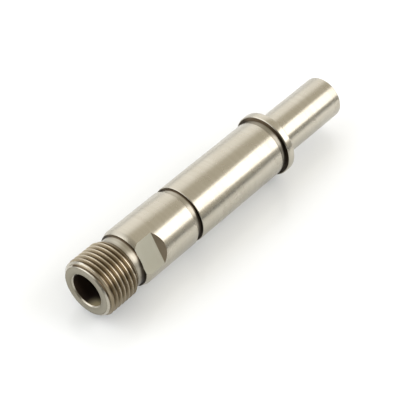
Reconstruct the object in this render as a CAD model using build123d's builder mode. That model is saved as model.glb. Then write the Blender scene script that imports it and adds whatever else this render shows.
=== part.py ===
from build123d import *
import os
from math import radians, tan

# A turned steel shaft with a bored, threaded nose, two wrench flats, a plain
# seat between a ring groove and a collar, and a slimmer spigot. It stands on
# the spigot's end face: +Z runs up its axis, +X is square to a wrench flat.

# lengths along the axis, in order from the spigot's end up to the nose
spigot_length = 27.0
collar_width = 2.5
undercut_width = 1.8
seat_length = 35.7
groove_width = 2.2
wrench_length = 21.0
relief_width = 2.5
thread_length = 12.3  # with the slope that leads down into the relief

# the bar is turned to the seat's diameter, and the rest is set out from it
seat_dia = 18.0
spigot_dia = 13.5
collar_height = 1.0
undercut_depth = 0.3
groove_depth = 0.8
relief_depth = 1.15
relief_slope = 30.0
thread_clearance = 0.1  # crests of the M18 x 1.5 thread lie this far under the seat

# wrench flats, milled in below the shoulder and left with a sloping run-out
flat_width = 15.0  # across flats
flat_length = 6.9
run_out_angle = 42.0
cutter_clearance = 0.5

# blind drilled bore in the nose
bore_dia = 10.2
bore_depth = 30.0
drill_point_angle = 118.0

# edge breaks
shoulder_lead = 1.5
shoulder_lead_angle = 20.0
nose_chamfer = 1.2
bore_chamfer = 0.4
spigot_chamfer = 0.4
collar_chamfer = 0.25
seat_chamfer = 0.15
collar_root_radius = 0.5

collar_dia = seat_dia + 2 * collar_height
undercut_dia = seat_dia - 2 * undercut_depth
groove_dia = seat_dia - 2 * groove_depth
relief_dia = seat_dia - 2 * relief_depth
thread_dia = seat_dia - 2 * thread_clearance
slope_length = (thread_dia - relief_dia) / 2 / tan(radians(relief_slope))
drill_point_length = bore_dia / 2 / tan(radians(drill_point_angle / 2))

# heights where one length ends and the next begins
collar_base = spigot_length
undercut_base = collar_base + collar_width
seat_base = undercut_base + undercut_width
groove_base = seat_base + seat_length
wrench_base = groove_base + groove_width
shoulder = wrench_base + wrench_length
slope_base = shoulder + relief_width
thread_base = slope_base + slope_length
nose = slope_base + thread_length
lead_base = shoulder - shoulder_lead
flat_base = shoulder - flat_length

# the flats' cutter clears the bar, and leaves it along the run-out's slope
cut_reach = seat_dia / 2 + cutter_clearance
cut_base = flat_base - (cut_reach - flat_width / 2) / tan(radians(run_out_angle))


def rims(shaft, diameter, *heights):
    """The circular edges of one diameter that lie at the given heights."""
    return shaft.edges().filter_by(GeomType.CIRCLE).filter_by(
        lambda edge: abs(edge.radius - diameter / 2) < 1e-4
        and any(abs(edge.center().Z - height) < 1e-4 for height in heights)
    )


with BuildPart() as turned_shaft:
    # each turned length is a disc of the blank, set on top of the last; a
    # taper narrows it on the way up, and one below zero widens it
    for base, top, diameter, taper in (
        (0, collar_base, spigot_dia, 0),
        (collar_base, undercut_base, collar_dia, 0),
        (undercut_base, seat_base, undercut_dia, 0),
        (seat_base, groove_base, seat_dia, 0),
        (groove_base, wrench_base, groove_dia, 0),
        (wrench_base, lead_base, seat_dia, 0),
        (lead_base, shoulder, seat_dia, shoulder_lead_angle),
        (shoulder, slope_base, relief_dia, 0),
        (slope_base, thread_base, relief_dia, -relief_slope),
        (thread_base, nose, thread_dia, 0),
    ):
        with BuildSketch(Plane.XY.offset(base)):
            Circle(diameter / 2)
        extrude(amount=top - base, taper=taper)

    chamfer(rims(turned_shaft, spigot_dia, 0), spigot_chamfer)
    fillet(rims(turned_shaft, spigot_dia, collar_base), collar_root_radius)
    chamfer(rims(turned_shaft, collar_dia, collar_base, undercut_base), collar_chamfer)
    chamfer(rims(turned_shaft, seat_dia, seat_base, groove_base, wrench_base), seat_chamfer)
    chamfer(rims(turned_shaft, thread_dia, nose), nose_chamfer)

    # the drilled bore, with its point and its countersunk mouth
    with Locations((0, 0, nose)):
        Hole(bore_dia / 2, depth=bore_depth)
    with Locations((0, 0, nose - bore_depth)):
        Cone(
            0,
            bore_dia / 2,
            drill_point_length,
            align=(Align.CENTER, Align.CENTER, Align.MAX),
            mode=Mode.SUBTRACT,
        )
    chamfer(rims(turned_shaft, bore_dia, nose), bore_chamfer)

    # the two wrench flats, cut straight across the shaft
    with BuildSketch(Plane.XZ):
        with BuildLine():
            Polyline(
                (flat_width / 2, shoulder),
                (flat_width / 2, flat_base),
                (cut_reach, cut_base),
                (cut_reach, shoulder),
                close=True,
            )
        make_face()
        mirror(about=Plane.YZ)
    extrude(amount=cut_reach, both=True, mode=Mode.SUBTRACT)

turned_shaft.part.label = "turned_shaft"
os.makedirs("parts", exist_ok=True)
export_step(turned_shaft.part, "parts/turned_shaft.step")
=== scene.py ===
import bpy
import bmesh
from math import cos, hypot, pi, radians, sin, tan
from mathutils import Matrix, Vector


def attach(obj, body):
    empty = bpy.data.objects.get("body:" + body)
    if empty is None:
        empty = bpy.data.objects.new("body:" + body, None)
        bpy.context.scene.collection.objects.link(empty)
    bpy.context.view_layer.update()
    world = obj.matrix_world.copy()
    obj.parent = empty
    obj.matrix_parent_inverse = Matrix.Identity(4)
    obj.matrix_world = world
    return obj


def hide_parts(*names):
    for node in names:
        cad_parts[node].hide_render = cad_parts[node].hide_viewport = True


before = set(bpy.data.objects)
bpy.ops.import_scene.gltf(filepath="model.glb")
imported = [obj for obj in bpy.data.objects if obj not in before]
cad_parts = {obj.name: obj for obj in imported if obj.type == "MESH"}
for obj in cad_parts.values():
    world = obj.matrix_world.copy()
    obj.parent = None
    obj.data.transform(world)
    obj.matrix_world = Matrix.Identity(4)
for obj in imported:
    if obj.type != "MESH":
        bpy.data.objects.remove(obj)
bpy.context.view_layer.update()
scene = bpy.context.scene
mm = 0.001

# the shaft stands on its spigot here, and the camera sees it lying on a table,
# so the table is an upright plane
viewSwing = radians(25.5)   # of the camera round the axis, from the first wrench flat
tableSwing = radians(59.1)  # of the table's upward direction
facing = Vector((cos(viewSwing), sin(viewSwing), 0))
across = Vector((sin(viewSwing), -cos(viewSwing), 0))
tableUp = Vector((cos(tableSwing), sin(tableSwing), 0))
noseward = Vector((0, 0, 1))


def newGroup(name, sizes, outputs):
    # every group takes a position, and sizes with their usual values
    group = bpy.data.node_groups.new(name, "ShaderNodeTree")
    group.interface.new_socket("Position", in_out="INPUT", socket_type="NodeSocketVector")
    for label, value in sizes.items():
        socket = group.interface.new_socket(label, in_out="INPUT", socket_type="NodeSocketFloat")
        socket.default_value = value
    for label in outputs:
        group.interface.new_socket(label, in_out="OUTPUT", socket_type="NodeSocketFloat")
    return group, group.nodes.new("NodeGroupInput").outputs, group.nodes.new("NodeGroupOutput").inputs


def addNode(tree, kind, inputs=None, **settings):
    node = tree.nodes.new(kind)
    for key, value in settings.items():
        setattr(node, key, value)
    for key, value in (inputs or {}).items():
        if isinstance(value, bpy.types.NodeSocket):
            tree.links.new(value, node.inputs[key])
        else:
            node.inputs[key].default_value = value
    return node


def doMath(tree, operation, first, second=0.0):
    return addNode(tree, "ShaderNodeMath", {0: first, 1: second}, operation=operation).outputs[0]


def alongWay(tree, vector, way):
    product = addNode(tree, "ShaderNodeVectorMath", {0: vector, 1: way}, operation="DOT_PRODUCT")
    return product.outputs["Value"]


def scaled(tree, vector, amount):
    return addNode(tree, "ShaderNodeVectorMath", {0: vector, "Scale": amount}, operation="SCALE").outputs[0]


def mixed(tree, share, first, second):
    # colours are given as three numbers or come from another node
    ends = [end if isinstance(end, bpy.types.NodeSocket) else (*end, 1) for end in (first, second)]
    return addNode(tree, "ShaderNodeMix", {0: share, 6: ends[0], 7: ends[1]}, data_type="RGBA").outputs[2]


def mapRange(tree, value, fromMin, fromMax, toMin=0.0, toMax=1.0):
    ends = {"Value": value, "From Min": fromMin, "From Max": fromMax, "To Min": toMin, "To Max": toMax}
    return addNode(tree, "ShaderNodeMapRange", ends, interpolation_type="SMOOTHSTEP").outputs[0]


def effect(tree, group, position, sizes=None):
    node = addNode(tree, "ShaderNodeGroup", node_tree=group)
    tree.links.new(position, node.inputs["Position"])
    for label, value in (sizes or {}).items():
        node.inputs[label].default_value = value
    return node.outputs


def radiusAndHeight(tree, position):
    # both in millimetres, about the turning axis
    split = addNode(tree, "ShaderNodeSeparateXYZ", {0: scaled(tree, position, 1 / mm)}).outputs
    flat = addNode(tree, "ShaderNodeCombineXYZ", {0: split[0], 1: split[1]}).outputs[0]
    return addNode(tree, "ShaderNodeVectorMath", {0: flat}, operation="LENGTH").outputs["Value"], split[2]


# lathe marks run round the axis, on walls and faces alike
markSettings = {"Marks per mm": 5.0, "broadShare": 0.16, "detail": 2.0, "toneFrom": 0.3, "toneTo": 0.7}
turningMarks, given, out = newGroup(
    "turningMarks", {"Marks per mm": markSettings["Marks per mm"]}, ["Height", "Tone"],
)


def noiseAlong(tree, distance):
    noise = {"W": distance, "Scale": 1.0, "Detail": markSettings["detail"]}
    return addNode(tree, "ShaderNodeTexNoise", noise, noise_dimensions="1D").outputs[0]


radius, height = radiusAndHeight(turningMarks, given["Position"])
feed = doMath(turningMarks, "MULTIPLY", doMath(turningMarks, "ADD", radius, height), given["Marks per mm"])
fine = noiseAlong(turningMarks, feed)
broad = noiseAlong(turningMarks, doMath(turningMarks, "MULTIPLY", feed, markSettings["broadShare"]))
turningMarks.links.new(fine, out["Height"])
tone = mapRange(turningMarks, broad, markSettings["toneFrom"], markSettings["toneTo"])
turningMarks.links.new(tone, out["Tone"])

# faint clouds where oil and handling have dulled the metal
handlingSettings = {"Patch size mm": 6.0, "detail": 4.0, "clearBelow": 0.35, "fullAbove": 0.7}
handling, given, out = newGroup("handling", {"Patch size mm": handlingSettings["Patch size mm"]}, ["Mask"])
shrink = doMath(handling, "DIVIDE", 1 / mm, given["Patch size mm"])
patches = {"Vector": given["Position"], "Scale": shrink, "Detail": handlingSettings["detail"]}
cloud = addNode(handling, "ShaderNodeTexNoise", patches).outputs[0]
cloud = mapRange(handling, cloud, handlingSettings["clearBelow"], handlingSettings["fullAbove"])
handling.links.new(cloud, out["Mask"])

# the side that the shaft lies on, towards the table, where the painted shade lies darker
underside, given, out = newGroup("underside", {}, ["Mask"])
sunk = alongWay(underside, given["Position"], -tableUp / mm)
radius, height = radiusAndHeight(underside, given["Position"])
underside.links.new(mapRange(underside, doMath(underside, "DIVIDE", sunk, radius), -1.0, 0.0), out["Mask"])

# painted shade in a corner at one height, darker and wider on the underside
cornerSettings = {"Corner mm": 0.0, "Reach mm": 0.3}
cornerShadeSizes = {"wider": 3.0, "solidShare": 0.35, "darkestFrom": 0.35}
paintedCornerShade, given, out = newGroup("paintedCornerShade", cornerSettings, ["Mask", "Thickness"])
radius, height = radiusAndHeight(paintedCornerShade, given["Position"])
low = effect(paintedCornerShade, underside, given["Position"])["Mask"]
wider = doMath(paintedCornerShade, "ADD", doMath(paintedCornerShade, "MULTIPLY", low, cornerShadeSizes["wider"]), 1.0)
reach = doMath(paintedCornerShade, "MULTIPLY", given["Reach mm"], wider)
away = doMath(paintedCornerShade, "ABSOLUTE", doMath(paintedCornerShade, "SUBTRACT", height, given["Corner mm"]))
cornerShadeMask = mapRange(paintedCornerShade, doMath(paintedCornerShade, "DIVIDE", away, reach), 1.0, cornerShadeSizes["solidShare"])
paintedCornerShade.links.new(cornerShadeMask, out["Mask"])
paintedCornerShade.links.new(mapRange(paintedCornerShade, low, 0.0, cornerShadeSizes["darkestFrom"]), out["Thickness"])

# painted shade in the depth of a thread
depthSettings = {"Clear radius mm": 8.8, "Shaded radius mm": 8.3}
paintedDepthShade, given, out = newGroup("paintedDepthShade", depthSettings, ["Mask"])
radius, height = radiusAndHeight(paintedDepthShade, given["Position"])
paintedDepthShade.links.new(mapRange(paintedDepthShade, radius, given["Clear radius mm"], given["Shaded radius mm"]), out["Mask"])

# the little light that gets past the rim of the bore on one side
glowSettings = {"sideFrom": 0.35, "sideTo": 0.9, "darkBelow": 100.5, "litAbove": 103.5}
rimGlow, given, out = newGroup("rimGlow", {}, ["Mask"])
aside = alongWay(rimGlow, given["Position"], across / mm)
radius, height = radiusAndHeight(rimGlow, given["Position"])
side = doMath(rimGlow, "DIVIDE", aside, radius)
side = mapRange(rimGlow, side, glowSettings["sideFrom"], glowSettings["sideTo"])
depth = mapRange(rimGlow, height, glowSettings["darkBelow"], glowSettings["litAbove"])
rimGlow.links.new(doMath(rimGlow, "MULTIPLY", side, depth), out["Mask"])
print("shared effects ready")


def metal(name, look):
    material = bpy.data.materials.new(name)
    material.use_nodes = True
    tree = material.node_tree
    shader = tree.nodes["Principled BSDF"]
    position = addNode(tree, "ShaderNodeTexCoord").outputs["Object"]
    marks = effect(tree, turningMarks, position, {"Marks per mm": look["marksPerMm"]})
    haze = effect(tree, handling, position, {"Patch size mm": look["patchMm"]})["Mask"]
    shade = mixed(tree, marks["Tone"], look["colour"], look["markColour"])
    shade = mixed(tree, doMath(tree, "MULTIPLY", haze, look["dulling"]), shade, look["dullColour"])
    # painted shade in the corners
    for corner, reach, colour in look.get("shadedCorners", []):
        darkening = effect(tree, paintedCornerShade, position, {"Corner mm": corner, "Reach mm": reach})
        upperShade = [channel * look["upperShadeScale"] for channel in colour]
        shade = mixed(tree, darkening["Mask"], shade, mixed(tree, darkening["Thickness"], upperShade, colour))
    # painted shade in the depth of the thread
    for clear, shadedRadius, colour in look.get("shadedDepths", []):
        darkening = effect(tree, paintedDepthShade, position, {"Clear radius mm": clear, "Shaded radius mm": shadedRadius})
        shade = mixed(tree, darkening["Mask"], shade, colour)
    # painted shade on the underside, the side towards the table
    if "undersideShadeColour" in look:
        low = effect(tree, underside, position)["Mask"]
        undersideShadeShare = mapRange(tree, low, look["undersideShadeFrom"], 1.0, 0.0, look["undersideShadeAmount"])
        shade = mixed(tree, undersideShadeShare, shade, look["undersideShadeColour"])
    # painted light at the bore's rim
    if "rimColour" in look:
        shade = mixed(tree, effect(tree, rimGlow, position)["Mask"], shade, look["rimColour"])
    tree.links.new(shade, shader.inputs["Base Color"])
    roughest = look["roughness"] + look["roughnessSpread"]
    tree.links.new(mapRange(tree, haze, 0.0, 1.0, look["roughness"], roughest), shader.inputs["Roughness"])
    bump = {"Height": marks["Height"], "Distance": look["markDepthMm"] * mm, "Strength": 1.0}
    tree.links.new(addNode(tree, "ShaderNodeBump", bump).outputs[0], shader.inputs["Normal"])
    shader.inputs["Metallic"].default_value = 1.0
    shader.inputs["Anisotropic"].default_value = look["brushing"]
    # a quarter turn lays the sheen across the marks
    shader.inputs["Anisotropic Rotation"].default_value = 0.25
    if look["brushing"]:
        roundAxis = addNode(tree, "ShaderNodeTangent", direction_type="RADIAL", axis="Z")
        tree.links.new(roundAxis.outputs[0], shader.inputs["Tangent"])
    return material


# the shaft is turned from two outlines and a helical thread, and two flats are milled in;
# its sizes are in millimetres and its angles in degrees
shaftSizes = {
    "columns": 180, "cornerSoftness": 0.06, "sharpAbove": 32,
    "spigot": 6.75, "collar": 10.0, "undercut": 8.7, "seat": 9.0, "groove": 8.2,
    "shoulderRim": 8.454, "relief": 7.85,
    "collarBase": 27.0, "undercutBase": 29.5, "seatBase": 31.3, "grooveBase": 67.0, "wrenchBase": 69.2,
    "leadBase": 88.7, "shoulder": 90.2, "slopeBase": 92.7, "nose": 105.0,
    "spigotChamfer": 0.4, "collarChamfer": 0.25, "seatChamfer": 0.15, "rootRadius": 0.5,
    "bore": 5.1, "boreChamfer": 0.4, "boreBase": 75.0, "drillPoint": 71.936,
}
threadSizes = {
    "pitch": 1.5, "crest": 8.9, "depth": 0.812, "crestWidth": 0.1875, "rootWidth": 0.375, "steps": 5,
    "start": 90.6375, "reliefSlope": 30, "noseChamfer": 1.2,
}
flatSizes = {"half": 7.5, "base": 83.3, "runOut": 42, "reach": 12.0}


def bodyOutline():
    # radius and height of each corner, from the spigot's end up to the relief
    s = shaftSizes
    c, k, e, root = s["spigotChamfer"], s["collarChamfer"], s["seatChamfer"], s["rootRadius"]
    turns = [(1 - cos(radians(a)), 1 - sin(radians(a))) for a in (0, 30, 60, 90)]
    fillet = [(s["spigot"] + root * x, s["collarBase"] - root * y) for x, y in turns]
    return [(0, 0), (s["spigot"] - c, 0), (s["spigot"], c), *fillet] + [
        (s["collar"] - k, s["collarBase"]), (s["collar"], s["collarBase"] + k),
        (s["collar"], s["undercutBase"] - k), (s["collar"] - k, s["undercutBase"]),
        (s["undercut"], s["undercutBase"]), (s["undercut"], s["seatBase"]),
        (s["seat"] - e, s["seatBase"]), (s["seat"], s["seatBase"] + e),
        (s["seat"], s["grooveBase"] - e), (s["seat"] - e, s["grooveBase"]),
        (s["groove"], s["grooveBase"]), (s["groove"], s["wrenchBase"]),
        (s["seat"] - e, s["wrenchBase"]), (s["seat"], s["wrenchBase"] + e),
        (s["seat"], s["leadBase"]), (s["shoulderRim"], s["shoulder"]),
        (s["relief"], s["shoulder"]), (s["relief"], s["slopeBase"]),
    ]


def noseOutline():
    # from the nose's rim in over its face and down the bore to the drill's point
    s = shaftSizes
    c = s["boreChamfer"]
    rim = threadSizes["crest"] - threadSizes["noseChamfer"]
    return [
        (rim, s["nose"]), (s["bore"] + c, s["nose"]), (s["bore"], s["nose"] - c),
        (s["bore"], s["boreBase"]), (0, s["drillPoint"]),
    ]


def threadOutline():
    # one tooth above another, from below the relief's slope to above the nose
    t = threadSizes
    root = t["crest"] - t["depth"]
    flank = (t["pitch"] - t["crestWidth"] - t["rootWidth"]) / 2
    tooth = [(root, 0.0), (root, t["rootWidth"])]
    for step in range(1, t["steps"] + 1):
        share = step / t["steps"]
        tooth.append((root + t["depth"] * share, t["rootWidth"] + flank * share))
    crestEnd = t["rootWidth"] + flank + t["crestWidth"]
    for step in range(t["steps"]):
        share = step / t["steps"]
        tooth.append((t["crest"] - t["depth"] * share, crestEnd + flank * share))
    turns = int((shaftSizes["nose"] - t["start"]) / t["pitch"]) + 2
    return [(r, t["start"] + turn * t["pitch"] + z) for turn in range(turns) for r, z in tooth]


def turnOutline(mesh, outline, softness=0.0, rise=0.0):
    points = [mesh.verts.new((r * mm, 0, z * mm)) for r, z in outline]
    lines = [mesh.edges.new(pair) for pair in zip(points, points[1:])]
    if softness:
        bmesh.ops.bevel(
            mesh, geom=points[1:-1], offset=softness * mm, offset_type="OFFSET",
            segments=2, profile=0.5, affect="VERTICES", material=-1,
        )
        points, lines = list(mesh.verts), list(mesh.edges)
    steps = shaftSizes["columns"]
    bmesh.ops.spin(
        mesh, geom=points + lines, cent=(0, 0, 0), axis=(0, 0, 1), angle=2 * pi, steps=steps,
        dvec=(0, 0, rise * mm / steps), use_merge=rise == 0, use_duplicate=False,
    )


def trimThread(mesh):
    # the thread ends on the relief's slope below and on the nose's chamfer above
    s, t = shaftSizes, threadSizes
    bmesh.ops.remove_doubles(mesh, verts=mesh.verts, dist=1e-6)
    for v in mesh.verts:
        z = min(max(v.co.z / mm, s["slopeBase"]), s["nose"])
        slope = s["relief"] + (z - s["slopeBase"]) * tan(radians(t["reliefSlope"]))
        chamfer = t["crest"] - t["noseChamfer"] + s["nose"] - z
        r = hypot(v.co.x, v.co.y) / mm
        if s["slopeBase"] < z < s["nose"]:
            trimmed = min(r, slope, chamfer)
        else:
            trimmed = min(slope, chamfer)
        v.co = (v.co.x * trimmed / r, v.co.y * trimmed / r, z * mm)


def joined(meshes):
    whole = bmesh.new()
    for mesh in meshes:
        data = bpy.data.meshes.new("part")
        mesh.to_mesh(data)
        mesh.free()
        whole.from_mesh(data)
        bpy.data.meshes.remove(data)
    bmesh.ops.remove_doubles(whole, verts=whole.verts, dist=2e-6)
    bmesh.ops.dissolve_degenerate(whole, edges=whole.edges, dist=1e-7)
    bmesh.ops.recalc_face_normals(whole, faces=whole.faces)
    return whole


def newObject(name, mesh):
    data = bpy.data.meshes.new(name)
    mesh.to_mesh(data)
    mesh.free()
    thing = bpy.data.objects.new(name, data)
    scene.collection.objects.link(thing)
    return thing


def flatCutter():
    # a block for each flat, with a sloping end that makes the run-out
    f = flatSizes
    top = shaftSizes["shoulder"] + shaftSizes["cornerSoftness"]
    foot = f["base"] - (f["reach"] - f["half"]) / tan(radians(f["runOut"]))
    mesh = bmesh.new()
    for side in (1, -1):
        outline = [(f["half"], top), (f["half"], f["base"]), (f["reach"], foot), (f["reach"], top)]
        ring = [mesh.verts.new((side * x * mm, -f["reach"] * mm, z * mm)) for x, z in outline]
        block = bmesh.ops.extrude_face_region(mesh, geom=[mesh.faces.new(ring)])["geom"]
        moved = [v for v in block if isinstance(v, bmesh.types.BMVert)]
        bmesh.ops.translate(mesh, verts=moved, vec=(0, 2 * f["reach"] * mm, 0))
    bmesh.ops.recalc_face_normals(mesh, faces=mesh.faces)
    return newObject("flatCutter", mesh)


def millFlats(thing):
    cutter = flatCutter()
    milling = thing.modifiers.new("flats", "BOOLEAN")
    milling.operation = "DIFFERENCE"
    milling.solver = "EXACT"
    milling.object = cutter
    before = thing.data
    after = bpy.data.meshes.new_from_object(thing.evaluated_get(bpy.context.evaluated_depsgraph_get()))
    thing.modifiers.clear()
    thing.data = after
    bpy.data.meshes.remove(before)
    bpy.data.objects.remove(cutter)
    after.name = thing.name


turnedLook = {
    "colour": (0.465, 0.435, 0.365), "markColour": (0.445, 0.415, 0.345), "dullColour": (0.40, 0.36, 0.28),
    "dulling": 0.2, "roughness": 0.25, "roughnessSpread": 0.03, "brushing": 0.5,
    "marksPerMm": 5.0, "markDepthMm": 0.0009, "patchMm": 5.0,
}
facedLook = dict(
    turnedLook, colour=(0.31, 0.285, 0.225), markColour=(0.22, 0.20, 0.15), roughness=0.38,
    marksPerMm=4.0, markDepthMm=0.003,
)
milledLook = dict(
    turnedLook, colour=(0.435, 0.425, 0.355), markColour=(0.405, 0.395, 0.325), roughness=0.5,
    brushing=0.0, marksPerMm=0.9, markDepthMm=0.002,
)
runOutLook = dict(milledLook, colour=(0.32, 0.265, 0.19), markColour=(0.23, 0.18, 0.125), roughness=0.45)
# shaded corners are a height, a reach and a colour of painted shade, and shaded depths a clear radius, a
# shaded one and a colour of painted shade
threadLook = dict(
    turnedLook, colour=(0.54, 0.475, 0.365), markColour=(0.49, 0.425, 0.325), roughness=0.31,
    brushing=0.3, marksPerMm=3.0, undersideShadeColour=(0.22, 0.18, 0.12), undersideShadeFrom=0.55, undersideShadeAmount=0.7,
    shadedDepths=[(8.88, 8.7, (0.33, 0.275, 0.19)), (8.3, 8.12, (0.10, 0.075, 0.047))],
    shadedCorners=[(103.3, 0.9, (0.25, 0.205, 0.14))], upperShadeScale=1.0,
)
# the colour of the painted shade in the grooves' corners
cornerShadeColour = (0.035, 0.027, 0.018)
cornerReaches = {
    "undercutBase": 0.38, "seatBase": 0.14, "grooveBase": 0.5, "wrenchBase": 0.18, "shoulder": 0.6,
}
grooveLook = dict(
    turnedLook, colour=(0.40, 0.375, 0.31), markColour=(0.35, 0.32, 0.26), roughness=0.36,
    shadedCorners=[(shaftSizes[corner], reach, cornerShadeColour) for corner, reach in cornerReaches.items()],
    upperShadeScale=4.5,
)
# the relief's slope is coloured dark brown: painted shade
reliefLook = dict(turnedLook, colour=(0.20, 0.165, 0.11), markColour=(0.15, 0.12, 0.075), roughness=0.35)
# the bore's near-black colour is painted shade, and its rim colour is painted light
boreLook = dict(
    turnedLook, colour=(0.075, 0.055, 0.045), markColour=(0.05, 0.035, 0.03),
    dullColour=(0.03, 0.022, 0.018), roughness=0.5, brushing=0.0, marksPerMm=3.0, markDepthMm=0.004,
    rimColour=(0.92, 0.8, 0.52),
)
finishes = ["turned", "faced", "milled", "runOut", "thread", "groove", "relief", "bore"]
looks = [turnedLook, facedLook, milledLook, runOutLook, threadLook, grooveLook, reliefLook, boreLook]
metals = [metal(finish + "Steel", look) for finish, look in zip(finishes, looks)]
print("metals ready:", len(metals))

# near and nearSlope are how exact a place or a face's normal has to be, the reaches say how far up the
# slope the relief's painted shade goes and how far below the flats a run-out lies, and the rest are of
# normals
finishSizes = {
    "near": 0.02, "nearSlope": 0.03, "slopeReach": 1.9, "flatsReach": 3.0,
    "square": 0.999, "level": 0.9, "leaning": 0.3, "chamferSpread": 0.08,
}


def finishOf(face):
    # picks the finish of a face by where it lies
    s, f, limits = shaftSizes, flatSizes, finishSizes
    near = limits["near"]
    centre = face.calc_center_median()
    r, z, x = hypot(centre.x, centre.y) / mm, centre.z / mm, abs(centre.x) / mm
    lying = abs(face.normal.z)
    level = lying > limits["level"]
    onFlats = f["base"] - limits["flatsReach"] < z < s["shoulder"] + 5 * near
    if onFlats and abs(face.normal.y) < near and r > f["half"] - near / 2:
        if abs(face.normal.x) > limits["square"] and abs(x - f["half"]) < near / 2:
            return "milled"
        sloping = abs(abs(face.normal.x) - cos(radians(f["runOut"]))) < near
        if sloping and face.normal.z > limits["leaning"]:
            return "runOut"
    if r < s["bore"] + near and z > s["drillPoint"] - near:
        return "bore"
    if level and (z > s["nose"] - near or z < near):
        return "faced"
    chamfered = abs(lying - cos(radians(45))) < limits["chamferSpread"]
    if chamfered and z > s["nose"] - threadSizes["noseChamfer"] - 5 * near:
        return "turned"
    if z > s["slopeBase"] + near:
        slope = s["relief"] + (z - s["slopeBase"]) * tan(radians(threadSizes["reliefSlope"]))
        onSlope = r > slope - limits["nearSlope"] and face.normal.z < -limits["leaning"]
        return "relief" if onSlope and z < s["slopeBase"] + limits["slopeReach"] else "thread"
    inside = r < s["seat"] - s["seatChamfer"] + near / 2
    if s["undercutBase"] - near < z < s["seatBase"] + near and (inside or level):
        return "groove"
    if s["grooveBase"] - near < z < s["wrenchBase"] + near and inside:
        return "groove"
    if s["shoulder"] - near < z < s["slopeBase"] + near:
        return "groove"
    return "turned"


print("turning the shaft")
turnings = []
for outline in (bodyOutline(), noseOutline()):
    turnings.append(bmesh.new())
    turnOutline(turnings[-1], outline, softness=shaftSizes["cornerSoftness"])
turnings.append(bmesh.new())
turnOutline(turnings[-1], threadOutline(), rise=threadSizes["pitch"])
trimThread(turnings[-1])
blank = joined(turnings)
print("open edges on the blank:", sum(not e.is_manifold for e in blank.edges))
turnedShaft = newObject("turnedShaft", blank)
millFlats(turnedShaft)

shaftMesh = bmesh.new()
shaftMesh.from_mesh(turnedShaft.data)
bmesh.ops.remove_doubles(shaftMesh, verts=shaftMesh.verts, dist=1e-6)
for face in shaftMesh.faces:
    face.smooth = True
    face.material_index = finishes.index(finishOf(face))
for edge in shaftMesh.edges:
    edge.smooth = len(edge.link_faces) != 2 or edge.calc_face_angle() < radians(shaftSizes["sharpAbove"])
print("open edges on the shaft:", sum(not e.is_manifold for e in shaftMesh.edges))
shaftMesh.to_mesh(turnedShaft.data)
shaftMesh.free()
for material in metals:
    turnedShaft.data.materials.append(material)
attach(turnedShaft, "root")
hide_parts("turned_shaft")
print("shaft finished:", len(turnedShaft.data.polygons), "faces")

# the table touches the collar's side, and middle is how far up the shaft its own middle lies
tableSizes = {"half": 800, "drop": 10.0, "middle": 55, "colour": (0.87, 0.885, 0.897), "roughness": 0.2}


def stagePlane(name, width, length, place, normal):
    # a rectangle whose length runs along the shaft
    mesh = bmesh.new()
    bmesh.ops.create_grid(mesh, x_segments=1, y_segments=1, size=0.5)
    bmesh.ops.scale(mesh, verts=mesh.verts, vec=(length * mm, width * mm, 1))
    turn = Matrix((-noseward, normal.cross(-noseward), normal)).transposed().to_4x4()
    bmesh.ops.transform(mesh, verts=mesh.verts, matrix=Matrix.Translation(place) @ turn)
    plane = newObject(name, mesh)
    return plane


def paint(name, sizes):
    material = bpy.data.materials.new(name)
    material.use_nodes = True
    shader = material.node_tree.nodes["Principled BSDF"]
    shader.inputs["Base Color"].default_value = (*sizes["colour"], 1)
    shader.inputs["Roughness"].default_value = sizes["roughness"]
    return material


side = 2 * tableSizes["half"]
middle = noseward * tableSizes["middle"] * mm
table = stagePlane("table", side, side, middle - tableUp * tableSizes["drop"] * mm, tableUp)
tablePaint = paint("tablePaint", tableSizes)
tree = tablePaint.node_tree
shader = tree.nodes["Principled BSDF"]
# the table is clear from behind, so that it hides nothing there
clear = addNode(tree, "ShaderNodeBsdfTransparent")
backs = addNode(tree, "ShaderNodeNewGeometry").outputs["Backfacing"]
oneSided = addNode(tree, "ShaderNodeMixShader", {0: backs, 1: shader.outputs[0], 2: clear.outputs[0]})
tree.links.new(oneSided.outputs[0], tree.nodes["Material Output"].inputs["Surface"])
table.data.materials.append(tablePaint)

# a low dark card stands on the table beyond the lower side, seen only as the dark line that it leaves in
# the metal
cardSizes = {"away": 88, "height": 12.5, "length": 500, "colour": (0.22, 0.22, 0.21), "roughness": 0.9}
tableAcross = tableUp.cross(noseward)
cardDrop = tableSizes["drop"] - cardSizes["height"] / 2
cardPlace = middle + (tableAcross * cardSizes["away"] - tableUp * cardDrop) * mm
card = stagePlane("blackCard", cardSizes["height"], cardSizes["length"], cardPlace, -tableAcross)
card.data.materials.append(paint("cardPaint", cardSizes))
card.visible_camera = False
card.visible_diffuse = False
card.visible_shadow = False

# swing is measured round the axis from the camera's side, tilt towards the spigot, and the rest in metres
softboxes = {
    "keySoftbox": {
        "swing": 15.9, "tilt": 33, "distance": 0.6, "width": 0.40, "length": 0.6,
        "brightness": 2.4, "tint": (1, 1, 1.05),
    },
    "noseSoftbox": {
        "swing": -75, "tilt": -45, "distance": 1.0, "width": 1.1, "length": 1.1,
        "brightness": 1.15, "tint": (1, 1, 1),
    },
    "shadowSoftbox": {
        "swing": 60, "tilt": -32, "distance": 0.7, "width": 0.8, "length": 1.0,
        "brightness": 3.7, "tint": (0.94, 1, 1.04),
    },
}


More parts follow.
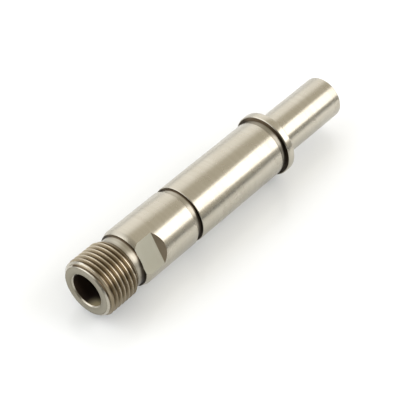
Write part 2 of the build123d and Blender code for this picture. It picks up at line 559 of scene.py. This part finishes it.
def softbox(name, box):
    swing, tilt = radians(box["swing"]), radians(box["tilt"])
    aim = (facing * cos(swing) + across * sin(swing)) * cos(tilt) - noseward * sin(tilt)
    lamp = bpy.data.lights.new(name, "AREA")
    lamp.shape = "RECTANGLE"
    lamp.size = box["width"]
    lamp.size_y = box["length"]
    lamp.energy = box["brightness"] * pi * box["width"] * box["length"]
    lamp.color = box["tint"]
    holder = bpy.data.objects.new(name, lamp)
    sideways = aim.cross(-noseward).normalized()
    turn = Matrix((sideways, aim.cross(sideways), aim)).transposed().to_4x4()
    holder.matrix_world = Matrix.Translation(middle + aim * box["distance"]) @ turn
    scene.collection.objects.link(holder)
    return holder


lit = {name: softbox(name, box) for name, box in softboxes.items()}
# this one only lifts the shadow on the table, and leaves no streak in the metal
lit["shadowSoftbox"].visible_glossy = False
lit["shadowSoftbox"].data.use_shadow = False

# the sky's stops go from below the table's edge to above it, the dim is towards the nose, and a broad
# soft glow comes from the left, as from a window, all along the shaft
skySettings = {
    "belowStop": 0.46, "below": (0.9, 0.9, 0.9), "edgeStop": 0.52, "edge": (0.56, 0.55, 0.51),
    "aboveStop": 0.62, "above": (0.84, 0.79, 0.68), "dimFrom": -0.35, "dimTo": 0.85, "dim": 0.26,
    "windowSwing": -93, "windowEdge": 0.72, "window": 0.8, "windowTint": (0.93, 0.97, 1.08),
    "backdrop": (0.86, 0.86, 0.85),
}
world = bpy.data.worlds.new("studio")
scene.world = world
world.use_nodes = True
tree = world.node_tree
direction = addNode(tree, "ShaderNodeTexCoord").outputs["Generated"]
upShare = doMath(tree, "MULTIPLY", doMath(tree, "ADD", alongWay(tree, direction, tableUp), 1.0), 0.5)
ramp = addNode(tree, "ShaderNodeValToRGB", {0: upShare})
stops = ramp.color_ramp.elements
stops[0].position, stops[0].color = skySettings["belowStop"], (*skySettings["below"], 1)
stops[1].position, stops[1].color = skySettings["aboveStop"], (*skySettings["above"], 1)
stops.new(skySettings["edgeStop"]).color = (*skySettings["edge"], 1)
towardNose = alongWay(tree, direction, noseward)
dim = mapRange(tree, towardNose, skySettings["dimFrom"], skySettings["dimTo"], 1.0, skySettings["dim"])
split = addNode(tree, "ShaderNodeSeparateXYZ", {0: direction}).outputs
swung = addNode(tree, "ShaderNodeCombineXYZ", {0: split[0], 1: split[1]}).outputs[0]
level = addNode(tree, "ShaderNodeVectorMath", {0: swung}, operation="NORMALIZE").outputs[0]
windowSwing = radians(skySettings["windowSwing"])
window = facing * cos(windowSwing) + across * sin(windowSwing)
share = alongWay(tree, level, window)
glow = mapRange(tree, share, skySettings["windowEdge"], 1.0, 0.0, skySettings["window"])
glow = scaled(tree, skySettings["windowTint"], glow)
sky = scaled(tree, ramp.outputs[0], dim)
sky = addNode(tree, "ShaderNodeVectorMath", {0: sky, 1: glow}, operation="ADD").outputs[0]
seen = addNode(tree, "ShaderNodeLightPath").outputs["Is Camera Ray"]
shown = mixed(tree, seen, sky, skySettings["backdrop"])
tree.links.new(shown, tree.nodes["Background"].inputs["Color"])

cameraSizes = {
    "out": 357.32, "height": 290.57, "aimAcross": 0.515, "aimHeight": 58.52, "roll": 129.45, "lens": 135,
    "sensor": 36, "clip": 0.01,
}
camera = bpy.data.objects.new("camera", bpy.data.cameras.new("camera"))
camera.data.lens = cameraSizes["lens"]
camera.data.sensor_width = cameraSizes["sensor"]
camera.data.clip_start = cameraSizes["clip"]
eye = (facing * cameraSizes["out"] + noseward * cameraSizes["height"]) * mm
aim = (across * cameraSizes["aimAcross"] + noseward * cameraSizes["aimHeight"]) * mm
upright = (aim - eye).to_track_quat("-Z", "Y").to_matrix()
roll = Matrix.Rotation(-radians(cameraSizes["roll"]), 3, "Z")
camera.matrix_world = Matrix.Translation(eye) @ (upright @ roll).to_4x4()
scene.collection.objects.link(camera)
scene.camera = camera
scene.view_settings.view_transform = "Standard"
print("stage ready")
